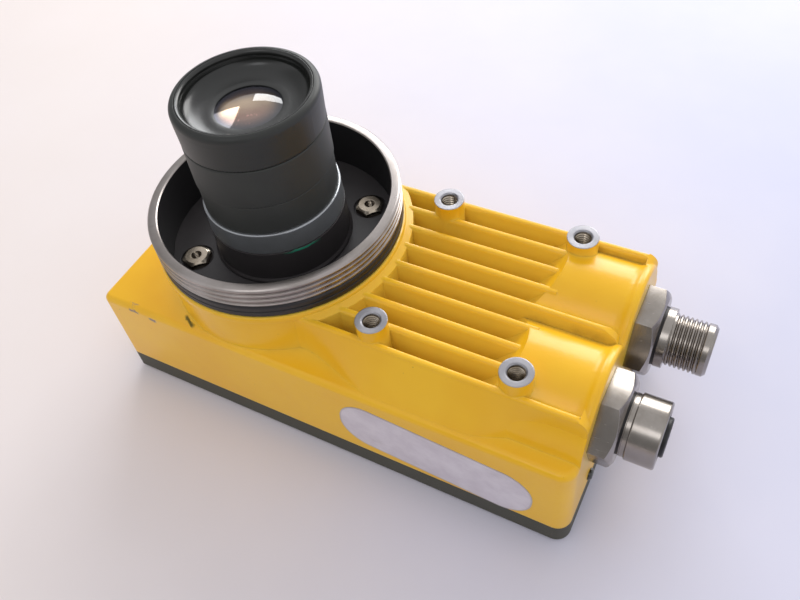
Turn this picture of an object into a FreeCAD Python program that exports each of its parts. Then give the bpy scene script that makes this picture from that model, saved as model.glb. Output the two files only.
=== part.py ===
import FreeCAD, Part

import os
from math import cos, sin, pi, sqrt, radians, tan

Vector = FreeCAD.Vector

# A machine vision camera lying on its back cover, in millimetres.
# The origin is where the lens axis meets the back cover's rear face. +Z is the way the camera looks,
# +X runs along the body to the connector end, and the body is the same on both sides of the XZ plane.

# ---------------------------------------------------------------- driving dimensions: body
body_length = 124.2
body_width = 61.4
lens_to_plain_end = 38.5        # lens axis to the end without connectors
plain_corner_radius = 2.0       # upright corners at the plain end
connector_corner_radius = 3.5   # upright corners at the connector end
top_edge_radius = 1.5           # long edges where the side walls turn into the top
side_wall = 2.8
roof_wall = 2.8
cover_height = 6.8              # back cover, up to the split line
wall_top = 30.2                 # top of the side walls

# collar round the lens
collar_ledge = 1.0              # from the side wall in to the collar
collar_lip_proud = 0.8
collar_lip_height = 1.6
collar_lip_round = 0.6
collar_top = 42.9
collar_flare = 2.5              # width of the flare that closes the fin channels
collar_flare_drop = 1.7         # from the collar's top to the flare's foot
collar_flare_start = 0.8        # from the collar's top to the flare
collar_wall = 1.86              # collar to well
well_ledge_radius = 19.0        # hole in the ledge that carries the lens plate
well_ledge_top = 36.0
well_ledge_thickness = 3.0
well_relief_inset = 1.84        # hollow under the ledge, smaller than the well

# fins
fin_count = 9
fin_pitch = 5.725
fin_thickness = 1.75
fin_foot_extra = 0.5            # how much wider a fin is at its foot
fin_top = 41.5
fin_round = 0.7
channel_floor = 33.0
shoulder_start = 17.0           # where the sloped shoulders begin to leave the outer fins
shoulder_full = 40.0            # where they reach the side walls
shoulder_leave = 60.0           # where they begin to turn back
shoulder_end = 79.8             # where they end against the outer fins
shoulder_sections = 6
fin_end_round = 3.0             # rounded ears of the outer fins
middle_fin_end_round = 4.0
middle_fin_end_gap = 1.4        # from the middle fin's end to the end wall's face

# humps over the connectors
connector_spacing = 24.6
connector_height = 28.8
hump_radius = 14.2
hump_wall = 2.6
hump_start = 59.5               # foot of the slanted faces where the fins end
hump_slant = 50.0               # degrees from the base plane
hump_overlap = 6.0              # how far the humps run in under the fins
end_flange_length = 2.8
end_flange_rise = 0.9
end_flange_slope = 1.2          # length of the slope up to the band
end_flange_fillet = 2.4
end_flange_crown = 1.5
end_flange_round = 0.9
end_corner_length = 2.2         # rim that closes the outer channels
end_corner_width = 3.5
end_wall = 3.2
tunnel_start = 73.5             # where the hollow under the humps begins

# mounting bosses
boss_spacing_x = 33.1
boss_spacing_y = 39.54
boss_first_x = 36.1
boss_radius = 3.6
boss_top = 45.1
boss_hole_radius = 1.9          # M4 thread, middle of its flanks
boss_hole_depth = 7.0
boss_chamfer = 0.35

# roof hollow under the fins
deck_hollow_start = 30.0
deck_hollow_end = 68.0
deck_hollow_width = 44.0
deck_wall = 3.0

# back cover and what seals and holds it
cover_floor = 3.0
cover_edge_radius = 1.0
gasket_inset = 0.8
gasket_width = 1.2
gasket_depth = 0.8
screw_inset = 6.2
pillar_radius = 3.8
screw_hole_radius = 1.7
screw_head_radius = 2.75
screw_head_height = 3.0
screw_shank_radius = 1.45
screw_length = 10.0             # from its head
screw_tip_gap = 1.0
screw_recess = 3.4
screw_clearance = 0.3
screw_socket_radius = 1.25
middle_screw_x = 27.0

# ---------------------------------------------------------------- driving dimensions: front ring and well
ring_height = 9.4               # above the collar
ring_thread_depth = 1.5         # neck to the crest of the thread
ring_thread_length = 5.4
ring_neck_wall = 0.86
ring_spigot_wall = 1.31
seat_clearance = 0.05           # radial, for parts that plug into each other
seal_width = 1.4
seal_gap = 0.2                  # above the ring seal
seal_round = 0.75
seal_waist = 0.45               # depth of the groove round the seal's middle
seal_waist_height = 0.5

plate_top = 39.0
pedestal_radius = 16.5
pedestal_foot = 0.5             # how far its foot stands out
pedestal_foot_height = 0.8
pedestal_foot_slope = 0.6
lens_seat = 48.6                # the C-mount face that the lens is screwed against
mount_thread_radius = 12.7      # 1 inch lens thread
mount_thread_length = 4.0
mount_bore_radius = 10.0
filter_radius = 11.2
filter_thickness = 1.0
filter_sunk = 1.2               # below the lens thread
flange_focal_distance = 17.526

standoff_inset = 5.64           # from the well's wall to the middle of a standoff
standoff_angles = (45.0, 225.0)
standoff_flats = 6.4
standoff_chamfer = 0.5
standoff_height = 1.0           # above the plate
standoff_shank_radius = 1.5
standoff_shank_length = 6.0
standoff_hole_radius = 1.25
standoff_hole_depth = 4.0
standoff_recess_radius = 4.1
standoff_recess_depth = 0.6

# ---------------------------------------------------------------- driving dimensions: lens
base_radius = 16.35
base_length = 6.0
base_edge = 0.35
iris_radius = 15.85
iris_length = 8.1
barrel_radius = 16.1
band_length = 10.4              # printed band of the barrel
focus_radius = 16.3
focus_waist_radius = 16.05
focus_length = 8.9
focus_taper_end = 2.6           # from the rim down to where the taper starts
focus_rim_round = 1.35
ring_gap = 0.1                  # between rings that turn past each other
focus_floor_gap = 0.6           # above the barrel's neck
running_clearance = 0.15
barrel_tube_radius = 13.1       # the barrel's neck inside the iris ring
focus_neck_radius = 14.0        # the barrel's neck inside the focus ring
barrel_neck_length = 2.9
cell_radius = 12.0
cell_wall = 1.4
cell_step = 0.8                 # from the lens seat up to the cell's wide part
cell_step_gap = 0.4
cell_tail_radius = 10.2
cell_tail_length = 3.2          # below the lens seat
cell_gap = 0.12

bezel_radius = 14.75
bezel_sunk = 0.3                # below the focus ring's rim
bezel_mouth_radius = 14.3
bezel_thread_radius = 13.5
bezel_thread_length = 1.2
bezel_mouth_depth = 0.5
bezel_depth = 4.55
bezel_floor = 0.75              # bowl's floor at its outer edge
bezel_foot = 0.5                # bowl's floor at the glass
bezel_bowl_round = 2.2
glass_lip_radius = 7.5
glass_lip_thickness = 0.4
front_glass_rise = 1.3
front_glass_thickness = 2.6
middle_glass_front_gap = 5.6    # from the diaphragm to the glass in front of it
middle_glass_rear_gap = 2.2     # and behind it
middle_glass_thickness = 3.0
middle_glass_rise = 0.9
rear_glass_step = 1.4           # above the end of the cell's tail
rear_glass_thickness = 2.4
rear_glass_rise = 0.8
diaphragm_height = 14.0         # above the lens seat
diaphragm_thickness = 0.8
diaphragm_hole_radius = 3.2

# ---------------------------------------------------------------- driving dimensions: connectors
flange_flats = 19.0
flange_length = 5.0
flange_chamfer = 1.3
panel_thread_radius = 7.8
panel_thread_length = 5.0
power_turn = 32.0               # how far the hexagon is turned, degrees
network_turn = 21.0
power_length = 16.5             # past the end wall
power_thread_radius = 6.0
power_thread_chamfer = 0.7
power_neck_radius = 6.95
power_neck_length = 1.5
power_seal_seat = 0.55          # depth of the groove under the seal
power_socket_radius = 4.5
power_socket_depth = 9.0
power_seal_sunk = 0.15          # below the neck
power_seal_thickness = 0.8
power_pin_radius = 0.45
power_pin_circle = 2.75
power_pin_count = 7
power_pin_below_rim = 2.2
network_length = 12.9
network_radius = 7.35
network_neck_radius = 6.95
network_neck_length = 1.6
network_bore_radius = 5.5
network_bore_depth = 7.5
network_edge = 0.5
network_insert_radius = 4.3
network_insert_proud = 0.9
network_contact_radius = 0.8
network_contact_hole_radius = 0.5
network_contact_circle = 2.1
network_contact_count = 4
shell_bore_radius = 5.6         # through the shell's back
insert_clearance = 0.05
connector_board_radius = 9.6
connector_board_thickness = 1.4
connector_board_gap = 3.6       # from the shell's inner end to its board
pin_tail = 0.6
contact_sunk = 0.3
contact_hole_depth = 5.0
network_seal_seat = 0.55        # depth of the groove under the seal
network_seal_sunk = 0.15        # below the neck
network_seal_thickness = 0.6

indicator_count = 4
indicator_spacing = 11.0
indicator_height = 9.6
indicator_radius = 1.45
indicator_proud = 0.95
indicator_length = 5.2

# ---------------------------------------------------------------- driving dimensions: electronics
board_thickness = 1.6
board_margin = 1.2              # from a board's edge to the inside of the walls
processor_board_height = 10.0
io_board_height = 18.0
io_board_end = 72.0
processor_board_end = 78.0
board_start = -33.0
board_corner = 1.5
board_spacer_radius = 2.5
board_spacer_floor = 1.5        # what the screws leave of the lower spacers
board_spacer_inset_x = 12.0
board_spacer_inset_y = 4.0
board_screw_radius = 2.6
board_screw_height = 1.6
board_screw_shank_radius = 1.2
sensor_board_width = 25.6
sensor_spacer_circle = 14.6
sensor_spacer_radius = 2.0
sensor_screw_grip = 2.2         # length in the lens plate
sensor_width = 14.0
sensor_depth = 11.0
sensor_thickness = 1.9
chip_places = ((0.0, 0.0, 23.0), (36.0, -9.0, 17.0), (38.0, 12.0, 13.0), (65.0, 0.0, 15.0))
chip_thickness = 1.8
header_width = 5.0
header_length = 26.0
header_x = 52.0
sensor_header_x = 8.6
sensor_header_length = 12.0
connector_header_width = 12.0
connector_header_length = 9.0
connector_header_height = 4.0

# ---------------------------------------------------------------- driving dimensions: label
label_middle_x = 53.8
label_middle_z = 16.4
label_length = 47.6
label_height = 16.2
label_corner = 7.6
label_tilt = 5.0                # stuck on a little askew, degrees
label_thickness = 0.15

# ---------------------------------------------------------------- worked out from the driving dimensions
x_plain = -lens_to_plain_end
overshoot = side_wall / 3       # how far a cutting shape reaches past what it cuts
x_connector = x_plain + body_length
half_width = body_width / 2
outer_fin_y = fin_pitch * (fin_count - 1) / 2
outer_fin_face = outer_fin_y + fin_thickness / 2
boss_y = boss_spacing_y / 2
boss_xs = (boss_first_x, boss_first_x + boss_spacing_x)
connector_y = connector_spacing / 2
shoulder_foot = half_width - top_edge_radius
collar_radius = half_width - collar_ledge
collar_lip_radius = collar_radius + collar_lip_proud
collar_flare_radius = collar_radius + collar_flare
collar_flare_top = collar_top - collar_flare_drop
well_radius = collar_radius - collar_wall
well_relief_radius = well_radius - well_relief_inset
standoff_circle = well_radius - standoff_inset
ring_top = collar_top + ring_height
ring_neck_radius = well_radius + ring_neck_wall
ring_spigot_radius = well_radius + ring_spigot_wall
ring_spigot_depth = collar_top - plate_top
ring_thread_radius = ring_neck_radius + ring_thread_depth
seal_radius = ring_neck_radius + seal_width
base_top = lens_seat + base_length
iris_top = base_top + iris_length
barrel_top = iris_top + band_length
barrel_neck_top = barrel_top + barrel_neck_length
focus_top = barrel_top + focus_length
bezel_top = focus_top - bezel_sunk
bezel_bottom = bezel_top - bezel_depth
cell_bottom = lens_seat + cell_step
cell_tail_bottom = lens_seat - cell_tail_length
rear_glass_bottom = cell_tail_bottom + rear_glass_step
diaphragm_bottom = lens_seat + diaphragm_height
diaphragm_top = diaphragm_bottom + diaphragm_thickness
roof_under = wall_top - roof_wall
tunnel_end = x_connector - end_wall
sensor_plane = lens_seat - flange_focal_distance
sensor_board_bottom = sensor_plane - sensor_thickness - board_thickness
screw_spots = [(x, side * (half_width - screw_inset))
               for x in (x_plain + screw_inset, middle_screw_x, x_connector - screw_inset)
               for side in (-1, 1)]


# ---------------------------------------------------------------- shape helpers
def cylinder(radius, bottom, top, x=0.0, y=0.0):
    return Part.makeCylinder(radius, top - bottom, Vector(x, y, bottom))


def cylinder_x(radius, start, end, y=0.0, z=0.0):
    return Part.makeCylinder(radius, end - start, Vector(start, y, z), Vector(1, 0, 0))


def block(x0, x1, y0, y1, z0, z1):
    return Part.makeBox(x1 - x0, y1 - y0, z1 - z0, Vector(x0, y0, z0))


def outline(corners, place):
    """A flat face. Each corner is (a, b) or (a, b, radius); place turns a, b into a point."""
    points = [Vector(c[0], c[1], 0) for c in corners]
    radii = [c[2] if len(c) > 2 else 0.0 for c in corners]
    ends = []
    for i, point in enumerate(points):
        before = points[i - 1] - point
        after = points[(i + 1) % len(points)] - point
        if radii[i] <= 0:
            ends.append((point, None, point))
            continue
        turn = before.getAngle(after)
        reach = radii[i] / tan(turn / 2)
        before.normalize()
        after.normalize()
        inward = before + after
        inward.normalize()
        centre = point + inward * (radii[i] / sin(turn / 2))
        ends.append((point + before * reach, centre - inward * radii[i], point + after * reach))
    edges = []
    for i, (start, middle, end) in enumerate(ends):
        if middle is not None:
            edges.append(Part.Arc(place(start), place(middle), place(end)).toShape())
        following = ends[(i + 1) % len(ends)][0]
        if (following - end).Length > 1e-6:
            edges.append(Part.LineSegment(place(end), place(following)).toShape())
    return Part.Face(Part.Wire(edges))


def on_xz(y):
    return lambda p: Vector(p.x, y, p.y)


def on_yz(x):
    return lambda p: Vector(x, p.x, p.y)


def on_xy(z):
    return lambda p: Vector(p.x, p.y, z)


def turned(corners):
    """A solid of revolution about the lens axis from (radius, height) corners."""
    return outline(corners, on_xz(0)).revolve(Vector(0, 0, 0), Vector(0, 0, 1), 360)


def turned_x(corners, y, z):
    """A solid of revolution about a line along X, from (x, radius) corners."""
    face = outline(corners, lambda p: Vector(p.x, y, z + p.y))
    return face.revolve(Vector(0, y, z), Vector(1, 0, 0), 360)


def rounded_plan(inset, bottom, top):
    """The body's plan, drawn in by inset, from bottom to top."""
    left, right = x_plain + inset, x_connector - inset
    side = half_width - inset
    small = max(plain_corner_radius - inset, 0.3)
    large = max(connector_corner_radius - inset, 0.3)
    corners = [(left, -side, small), (right, -side, large), (right, side, large), (left, side, small)]
    return outline(corners, on_xy(bottom)).extrude(Vector(0, 0, top - bottom))


def hexagon_x(flats, start, end, y, z, turn):
    """A hexagonal bar along X, with a corner turned from +Z towards -Y by turn degrees."""
    radius = flats / sqrt(3)
    corners = []
    for k in range(6):
        angle = radians(turn + 60 * k)
        corners.append((y - radius * sin(angle), z + radius * cos(angle)))
    return outline(corners, on_yz(start)).extrude(Vector(end - start, 0, 0))


def fuse(shapes):
    result = shapes[0].fuse(shapes[1:]) if len(shapes) > 1 else shapes[0]
    return result.removeSplitter()


def cut(shape, tools):
    return shape.cut(tools).removeSplitter()


def edges_where(shape, test):
    return [edge for edge in shape.Edges if test(edge)]


def is_level(edge, height):
    return all(abs(vertex.Z - height) < 1e-4 for vertex in edge.Vertexes)


def mirrored(shape):
    return shape.mirror(Vector(0, 0, 0), Vector(0, 1, 0))


# ---------------------------------------------------------------- housing
def base_shell():
    """The box part of the casting, with its long top edges rounded."""
    base = rounded_plan(0, cover_height, wall_top)
    return base.makeFillet(top_edge_radius, edges_where(base, lambda e: is_level(e, wall_top)))


def fin(y, start, end, end_round=0.0):
    """One upright fin, wider at its foot, with a rounded top and, if asked, a rounded end."""
    half = fin_thickness / 2
    foot = half + fin_foot_extra / 2
    foot_z = wall_top - top_edge_radius
    profile = [(y - foot, foot_z), (y + foot, foot_z), (y + half, fin_top, fin_round),
               (y - half, fin_top, fin_round)]
    body = outline(profile, on_yz(start)).extrude(Vector(end - start, 0, 0))
    if end_round > 0:
        side = [(start - overshoot, foot_z - overshoot), (end, foot_z - overshoot),
                (end, fin_top, end_round), (start - overshoot, fin_top)]
        keep = outline(side, on_xz(y - foot - overshoot)).extrude(Vector(0, 2 * (foot + overshoot), 0))
        body = body.common(keep)
    return body


def shoulder_section(x, reach):
    """Section of the sloped shoulder at x; reach goes from 0 at the outer fin to 1 at the side wall."""
    blend = reach * reach * (3 - 2 * reach)
    inner = outer_fin_y
    top = fin_top - fin_round
    thin = 0.02
    foot = outer_fin_face + thin + (shoulder_foot - outer_fin_face - thin) * blend
    low = wall_top - top_edge_radius
    points = [Vector(x, inner, low), Vector(x, foot, low), Vector(x, foot, wall_top),
              Vector(x, outer_fin_face, top), Vector(x, inner, top)]
    return Part.makePolygon(points + [points[0]])


def shoulder():
    """The sloped side of the finned deck, fading into an upright fin side at both ends."""
    steps = range(shoulder_sections + 1)
    grow = [shoulder_section(shoulder_start + (shoulder_full - shoulder_start) * k / shoulder_sections,
                             k / shoulder_sections) for k in steps]
    shrink = [shoulder_section(shoulder_leave + (shoulder_end - shoulder_leave) * k / shoulder_sections,
                               1 - k / shoulder_sections) for k in steps]
    middle = Part.Face(shoulder_section(shoulder_full, 1)).extrude(
        Vector(shoulder_leave - shoulder_full, 0, 0))
    return [Part.makeLoft(grow, True, False), middle, Part.makeLoft(shrink, True, False)]


def hump_slant_keep():
    """Everything behind the slanted plane where the fins end, on both sides."""
    low, high = wall_top - top_edge_radius, boss_top + hump_overlap
    slope = tan(radians(hump_slant))
    corners = [(hump_start + (low - channel_floor) / slope, low), (x_connector + overshoot, low),
               (x_connector + overshoot, high), (hump_start + (high - channel_floor) / slope, high)]
    return outline(corners, on_xz(-half_width)).extrude(Vector(0, body_width, 0))


def hump(side):
    """The rounded hump over a connector, with the raised band that finishes it at the end."""
    y = side * connector_y
    start = hump_start - hump_overlap
    foot = x_connector - end_flange_length
    radius = hump_radius + end_flange_rise
    low, high = wall_top - top_edge_radius, boss_top + hump_overlap
    banded = turned_x([(start, 0), (start, hump_radius), (foot, hump_radius, end_flange_fillet),
                       (foot + end_flange_slope, radius, end_flange_crown),
                       (x_connector, radius, end_flange_round), (x_connector, 0)], y, connector_height)
    near, far = sorted((0, side * outer_fin_face))
    banded = banded.common(block(start, x_connector, near, far, low, high))
    plain = cylinder_x(hump_radius, start, x_connector, y, connector_height)
    near, far = sorted((side * outer_fin_face, side * half_width))
    plain = plain.common(block(start, x_connector, near, far, low, high))
    return banded.fuse(plain).common(hump_slant_keep())


def end_corner():
    """The rim that joins an outer fin to the band and closes the channel beside it."""
    foot_z = wall_top - top_edge_radius
    far = x_connector - end_corner_length - fin_end_round
    side = [(far, foot_z), (x_connector, foot_z), (x_connector, fin_top, fin_end_round), (far, fin_top)]
    rim = outline(side, on_xz(outer_fin_face - end_corner_width)).extrude(Vector(0, end_corner_width, 0))
    return rim.common(block(x_connector - end_corner_length, x_connector, 0, half_width, foot_z, fin_top))


def collar():
    lip = collar_top - collar_lip_height
    spread = collar_lip_radius - collar_radius
    foot = wall_top - top_edge_radius
    wall = turned([(0, foot), (collar_radius, foot), (collar_radius, lip - spread),
                   (collar_lip_radius, lip), (collar_lip_radius, collar_top, collar_lip_round),
                   (0, collar_top)])
    return wall


def channel_ends():
    """The flare at the collar's foot that closes the fin channels."""
    foot, start = wall_top - top_edge_radius, collar_top - collar_flare_start
    flare = turned([(0, foot), (collar_flare_radius, foot), (collar_flare_radius, collar_flare_top),
                    (collar_radius, start), (0, start)])
    zone = block(0, collar_flare_radius + overshoot, -outer_fin_y, outer_fin_y, foot, collar_top)
    return flare.common(zone)


def bosses():
    shapes = []
    for x in boss_xs:
        for side in (-1, 1):
            shapes.append(cylinder(boss_radius, wall_top - overshoot, boss_top, x, side * boss_y))
    return shapes


def boss_holes():
    shapes = []
    for x in boss_xs:
        for side in (-1, 1):
            hole = cylinder(boss_hole_radius, boss_top - boss_hole_depth, boss_top + overshoot,
                            x, side * boss_y)
            mouth = Part.makeCone(boss_hole_radius, boss_hole_radius + boss_chamfer, boss_chamfer,
                                  Vector(x, side * boss_y, boss_top - boss_chamfer))
            shapes += [hole, mouth]
    return shapes


def deck():
    """Solid floor of the fin channels."""
    return block(0, x_connector - end_flange_length, -outer_fin_y, outer_fin_y,
                 wall_top - 2 * overshoot, channel_floor)


def housing_hollow():
    """The room inside for the boards, the lens plate and the connectors."""
    room = rounded_plan(side_wall, cover_height - overshoot, roof_under)
    low, high = cover_height - 2 * overshoot, roof_under + overshoot
    pillars = [cylinder(pillar_radius, low, high, x, y) for x, y in screw_spots]
    webs = []
    for x, y in screw_spots:
        outer = half_width if y > 0 else -half_width
        webs.append(block(x - pillar_radius, x + pillar_radius, min(y, outer), max(y, outer), low, high))
        if abs(x - middle_screw_x) > 1e-6:
            wall_x = x_plain if x < 0 else x_connector
            near, far = sorted((x, wall_x))
            webs.append(block(near, far, y - pillar_radius, y + pillar_radius, low, high))
    room = room.cut(pillars + webs)
    relief = cylinder(well_relief_radius, roof_under - overshoot, well_ledge_top - well_ledge_thickness)
    relief = relief.common(block(x_plain, x_connector, side_wall - half_width, half_width - side_wall,
                                 0, collar_top))
    throat = cylinder(well_ledge_radius, roof_under - overshoot, well_ledge_top + overshoot)
    well = cylinder(well_radius, well_ledge_top, collar_top + overshoot)
    seat = cylinder(ring_spigot_radius + seat_clearance, collar_top - ring_spigot_depth,
                    collar_top + overshoot)
    under_deck = block(deck_hollow_start, deck_hollow_end, -deck_hollow_width / 2, deck_hollow_width / 2,
                       roof_under - overshoot, channel_floor - deck_wall)
    tunnels = [cylinder_x(hump_radius - hump_wall, tunnel_start, tunnel_end, side * connector_y,
                          connector_height) for side in (-1, 1)]
    return [room, relief, throat, well, seat, under_deck] + tunnels


def housing_holes():
    """Connector, indicator, screw and standoff holes."""
    holes = []
    for side in (-1, 1):
        holes.append(cylinder_x(panel_thread_radius + seat_clearance, tunnel_end - overshoot,
                                x_connector + overshoot, side * connector_y, connector_height))
    for y in indicator_ys():
        holes.append(cylinder_x(indicator_radius, tunnel_end - overshoot, x_connector + overshoot,
                                y, indicator_height))
    for x, y in screw_spots:
        holes.append(cylinder(screw_shank_radius + seat_clearance, cover_height - overshoot,
                              screw_recess + screw_length + screw_tip_gap, x, y))
    for x, y in standoff_spots():
        holes.append(cylinder(standoff_shank_radius + seat_clearance,
                              well_ledge_top - well_ledge_thickness - overshoot,
                              well_ledge_top + overshoot, x, y))
    return holes


def standoff_spots():
    return [(standoff_circle * cos(radians(a)), standoff_circle * sin(radians(a))) for a in standoff_angles]


def indicator_ys():
    return [indicator_spacing * (k - (indicator_count - 1) / 2) for k in range(indicator_count)]


def make_housing():
    short_end = hump_start + (fin_top - channel_floor) / tan(radians(hump_slant)) + fin_pitch / 3
    fins = []
    for k in range(fin_count):
        y = fin_pitch * (k - (fin_count - 1) / 2)
        if k in (0, fin_count - 1):
            fins.append(fin(y, 0, x_connector, fin_end_round))
        elif abs(y) < fin_pitch / 2:
            fins.append(fin(y, 0, x_connector - middle_fin_end_gap, middle_fin_end_round))
        else:
            fins.append(fin(y, 0, short_end))
    shoulders = shoulder()
    corner = end_corner()
    pieces = [base_shell(), collar(), channel_ends(), deck(), corner, mirrored(corner)] + fins + shoulders
    pieces += [mirrored(piece) for piece in shoulders]
    pieces += [hump(side) for side in (-1, 1)] + bosses()
    body = fuse(pieces)
    return cut(body, housing_hollow() + housing_holes() + boss_holes())


# ---------------------------------------------------------------- back cover
def make_back_cover():
    plate = rounded_plan(0, 0, cover_height)
    plate = plate.makeChamfer(cover_edge_radius, edges_where(plate, lambda e: is_level(e, 0)))
    tray = rounded_plan(side_wall, cover_floor, cover_height + overshoot)
    keep = [cylinder(pillar_radius, 0, cover_height, x, y) for x, y in screw_spots]
    plate = plate.cut(tray)
    plate = fuse([plate] + keep)
    tools = [gasket_shape(cover_height + overshoot)]
    for x, y in screw_spots:
        tools.append(cylinder(screw_hole_radius, -overshoot, cover_height + overshoot, x, y))
        tools.append(cylinder(screw_head_radius + screw_clearance, -overshoot, screw_recess, x, y))
    return cut(plate, tools)


def gasket_shape(top):
    outer = rounded_plan(gasket_inset, cover_height - gasket_depth, top)
    inner = rounded_plan(gasket_inset + gasket_width, cover_height - gasket_depth - overshoot,
                         top + overshoot)
    return outer.cut(inner)


def make_cover_gasket():
    return gasket_shape(cover_height)


def socket_screw(head_bottom, shank_top):
    """A cap screw driven upwards from below, with its head at the bottom."""
    screw = cylinder(screw_head_radius, head_bottom, head_bottom + screw_head_height).fuse(
        cylinder(screw_shank_radius, head_bottom + screw_head_height, shank_top))
    corners = [(screw_socket_radius * cos(pi * k / 3), screw_socket_radius * sin(pi * k / 3))
               for k in range(6)]
    socket = outline(corners, on_xy(head_bottom - overshoot)).extrude(
        Vector(0, 0, overshoot + screw_head_height / 2))
    return screw.cut(socket)


def make_cover_screws():
    head_bottom = screw_recess - screw_head_height
    screw = socket_screw(head_bottom, screw_recess + screw_length)
    return [screw.translated(Vector(x, y, 0)) for x, y in screw_spots]


# ---------------------------------------------------------------- front ring, seal and lens plate
def make_cover_ring():
    spigot_bottom = collar_top - ring_spigot_depth
    thread_bottom = ring_top - ring_thread_length
    return turned([(well_radius, spigot_bottom), (ring_spigot_radius, spigot_bottom),
                   (ring_spigot_radius, collar_top), (ring_neck_radius, collar_top),
                   (ring_neck_radius, thread_bottom), (ring_thread_radius, thread_bottom),
                   (ring_thread_radius, ring_top), (well_radius, ring_top)])


def make_ring_seal():
    bottom = collar_top
    top = ring_top - ring_thread_length - seal_gap
    inner = ring_neck_radius
    middle = (bottom + top) / 2
    waist = seal_radius - seal_waist
    half = seal_waist_height / 2
    return turned([(inner, bottom), (seal_radius, bottom, seal_round), (seal_radius, middle - half),
                   (waist, middle), (seal_radius, middle + half), (seal_radius, top, seal_round),
                   (inner, top)])


def make_lens_plate():
    foot_radius = pedestal_radius + pedestal_foot
    foot_top = plate_top + pedestal_foot_height
    thread, seat = mount_thread_radius + seat_clearance, filter_radius + seat_clearance
    filter_top = filter_bottom() + filter_thickness
    plate = turned([(mount_bore_radius, well_ledge_top), (well_radius - seat_clearance, well_ledge_top),
                    (well_radius - seat_clearance, plate_top), (foot_radius, plate_top),
                    (foot_radius, foot_top), (pedestal_radius, foot_top + pedestal_foot_slope),
                    (pedestal_radius, lens_seat), (thread, lens_seat), (thread, filter_top),
                    (seat, filter_top), (seat, filter_bottom()), (mount_bore_radius, filter_bottom())])
    tools = []
    for x, y in standoff_spots():
        tools.append(cylinder(standoff_recess_radius, plate_top - standoff_recess_depth,
                              plate_top + overshoot, x, y))
        tools.append(cylinder(standoff_shank_radius + seat_clearance, well_ledge_top - overshoot,
                              plate_top, x, y))
    for x, y in sensor_spacer_spots():
        tools.append(cylinder(board_screw_shank_radius, well_ledge_top - overshoot,
                              well_ledge_top + sensor_screw_grip, x, y))
    return cut(plate, tools)


def filter_bottom():
    return lens_seat - mount_thread_length - filter_sunk - filter_thickness


def make_filter_glass():
    return cylinder(filter_radius, filter_bottom(), filter_bottom() + filter_thickness)


def make_standoffs():
    shapes = []
    radius = standoff_flats / sqrt(3)
    bottom = plate_top - standoff_recess_depth
    top = plate_top + standoff_height
    for (x, y), angle in zip(standoff_spots(), standoff_angles):
        corners = [(x + radius * cos(radians(angle + 60 * k)), y + radius * sin(radians(angle + 60 * k)))
                   for k in range(6)]
        head = outline(corners, on_xy(bottom)).extrude(Vector(0, 0, top - bottom))
        keep = turned([(0, bottom), (radius, bottom), (radius, top - standoff_chamfer),
                       (radius - 2 * standoff_chamfer, top), (0, top)]).translated(Vector(x, y, 0))
        head = head.common(keep)
        shank = cylinder(standoff_shank_radius, bottom - standoff_shank_length + standoff_recess_depth,
                         bottom, x, y)
        hole = cylinder(standoff_hole_radius, top - standoff_hole_depth, top + overshoot, x, y)
        shapes.append(cut(head.fuse(shank), [hole]))
    return shapes


# ---------------------------------------------------------------- lens
def lens_bore():
    return cell_radius + cell_gap


def make_lens_base():
    thread_bottom = lens_seat - mount_thread_length
    tail = cell_tail_radius + cell_gap
    step = cell_bottom - cell_step_gap
    return turned([(tail, thread_bottom), (mount_thread_radius, thread_bottom),
                   (mount_thread_radius, lens_seat), (base_radius, lens_seat, base_edge),
                   (base_radius, base_top, base_edge), (lens_bore(), base_top),
                   (lens_bore(), step), (tail, step)])


def make_lens_barrel():
    band_bottom = iris_top + ring_gap
    return turned([(lens_bore(), base_top), (barrel_tube_radius, base_top),
                   (barrel_tube_radius, band_bottom), (barrel_radius, band_bottom, 0.25),
                   (barrel_radius, barrel_top, 0.35), (focus_neck_radius, barrel_top),
                   (focus_neck_radius, barrel_neck_top), (lens_bore(), barrel_neck_top)])


def make_iris_ring():
    inner = barrel_tube_radius + running_clearance
    return turned([(inner, base_top + ring_gap), (iris_radius, base_top + ring_gap, 0.3),
                   (iris_radius, iris_top, 0.3), (inner, iris_top)])


def make_focus_ring():
    bottom = barrel_top + ring_gap
    inner = focus_neck_radius + running_clearance
    bezel_inner = bezel_radius + running_clearance
    step = barrel_neck_top + focus_floor_gap
    return turned([(inner, bottom), (focus_waist_radius, bottom, 0.3),
                   (focus_radius, focus_top - focus_taper_end, 3.0),
                   (focus_radius, focus_top, focus_rim_round), (bezel_inner, focus_top),
                   (bezel_inner, step), (inner, step)])


def make_lens_cell():
    inner = cell_radius - cell_wall
    tail_inner = cell_tail_radius - cell_wall
    step = cell_bottom + cell_wall
    rear_seat = rear_glass_bottom + rear_glass_thickness
    top = bezel_bottom
    return turned([(tail_inner, cell_tail_bottom), (cell_tail_radius, cell_tail_bottom),
                   (cell_tail_radius, cell_bottom), (cell_radius, cell_bottom),
                   (cell_radius, top), (inner, top), (inner, step), (tail_inner, step)])


def dome(radius, height, rise):
    """A spherical cap of the given rise standing on a disc."""
    ball = (radius * radius + rise * rise) / (2 * rise)
    sphere = Part.makeSphere(ball, Vector(0, 0, height + rise - ball))
    return sphere.common(cylinder(radius, height, height + rise + overshoot))


def hollow(radius, height, rise):
    """A spherical hollow of the given depth, open at the bottom of a disc."""
    ball = (radius * radius + rise * rise) / (2 * rise)
    return Part.makeSphere(ball, Vector(0, 0, height + rise - ball))


def glass_disc(radius, bottom, thickness, dome_radius, rise):
    """A round glass with a domed front."""
    top = bottom + thickness
    return fuse([cylinder(radius, bottom, top), dome(dome_radius, top, rise)])


def cell_bore():
    return cell_radius - cell_wall


def tail_bore():
    return cell_tail_radius - cell_wall


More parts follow.
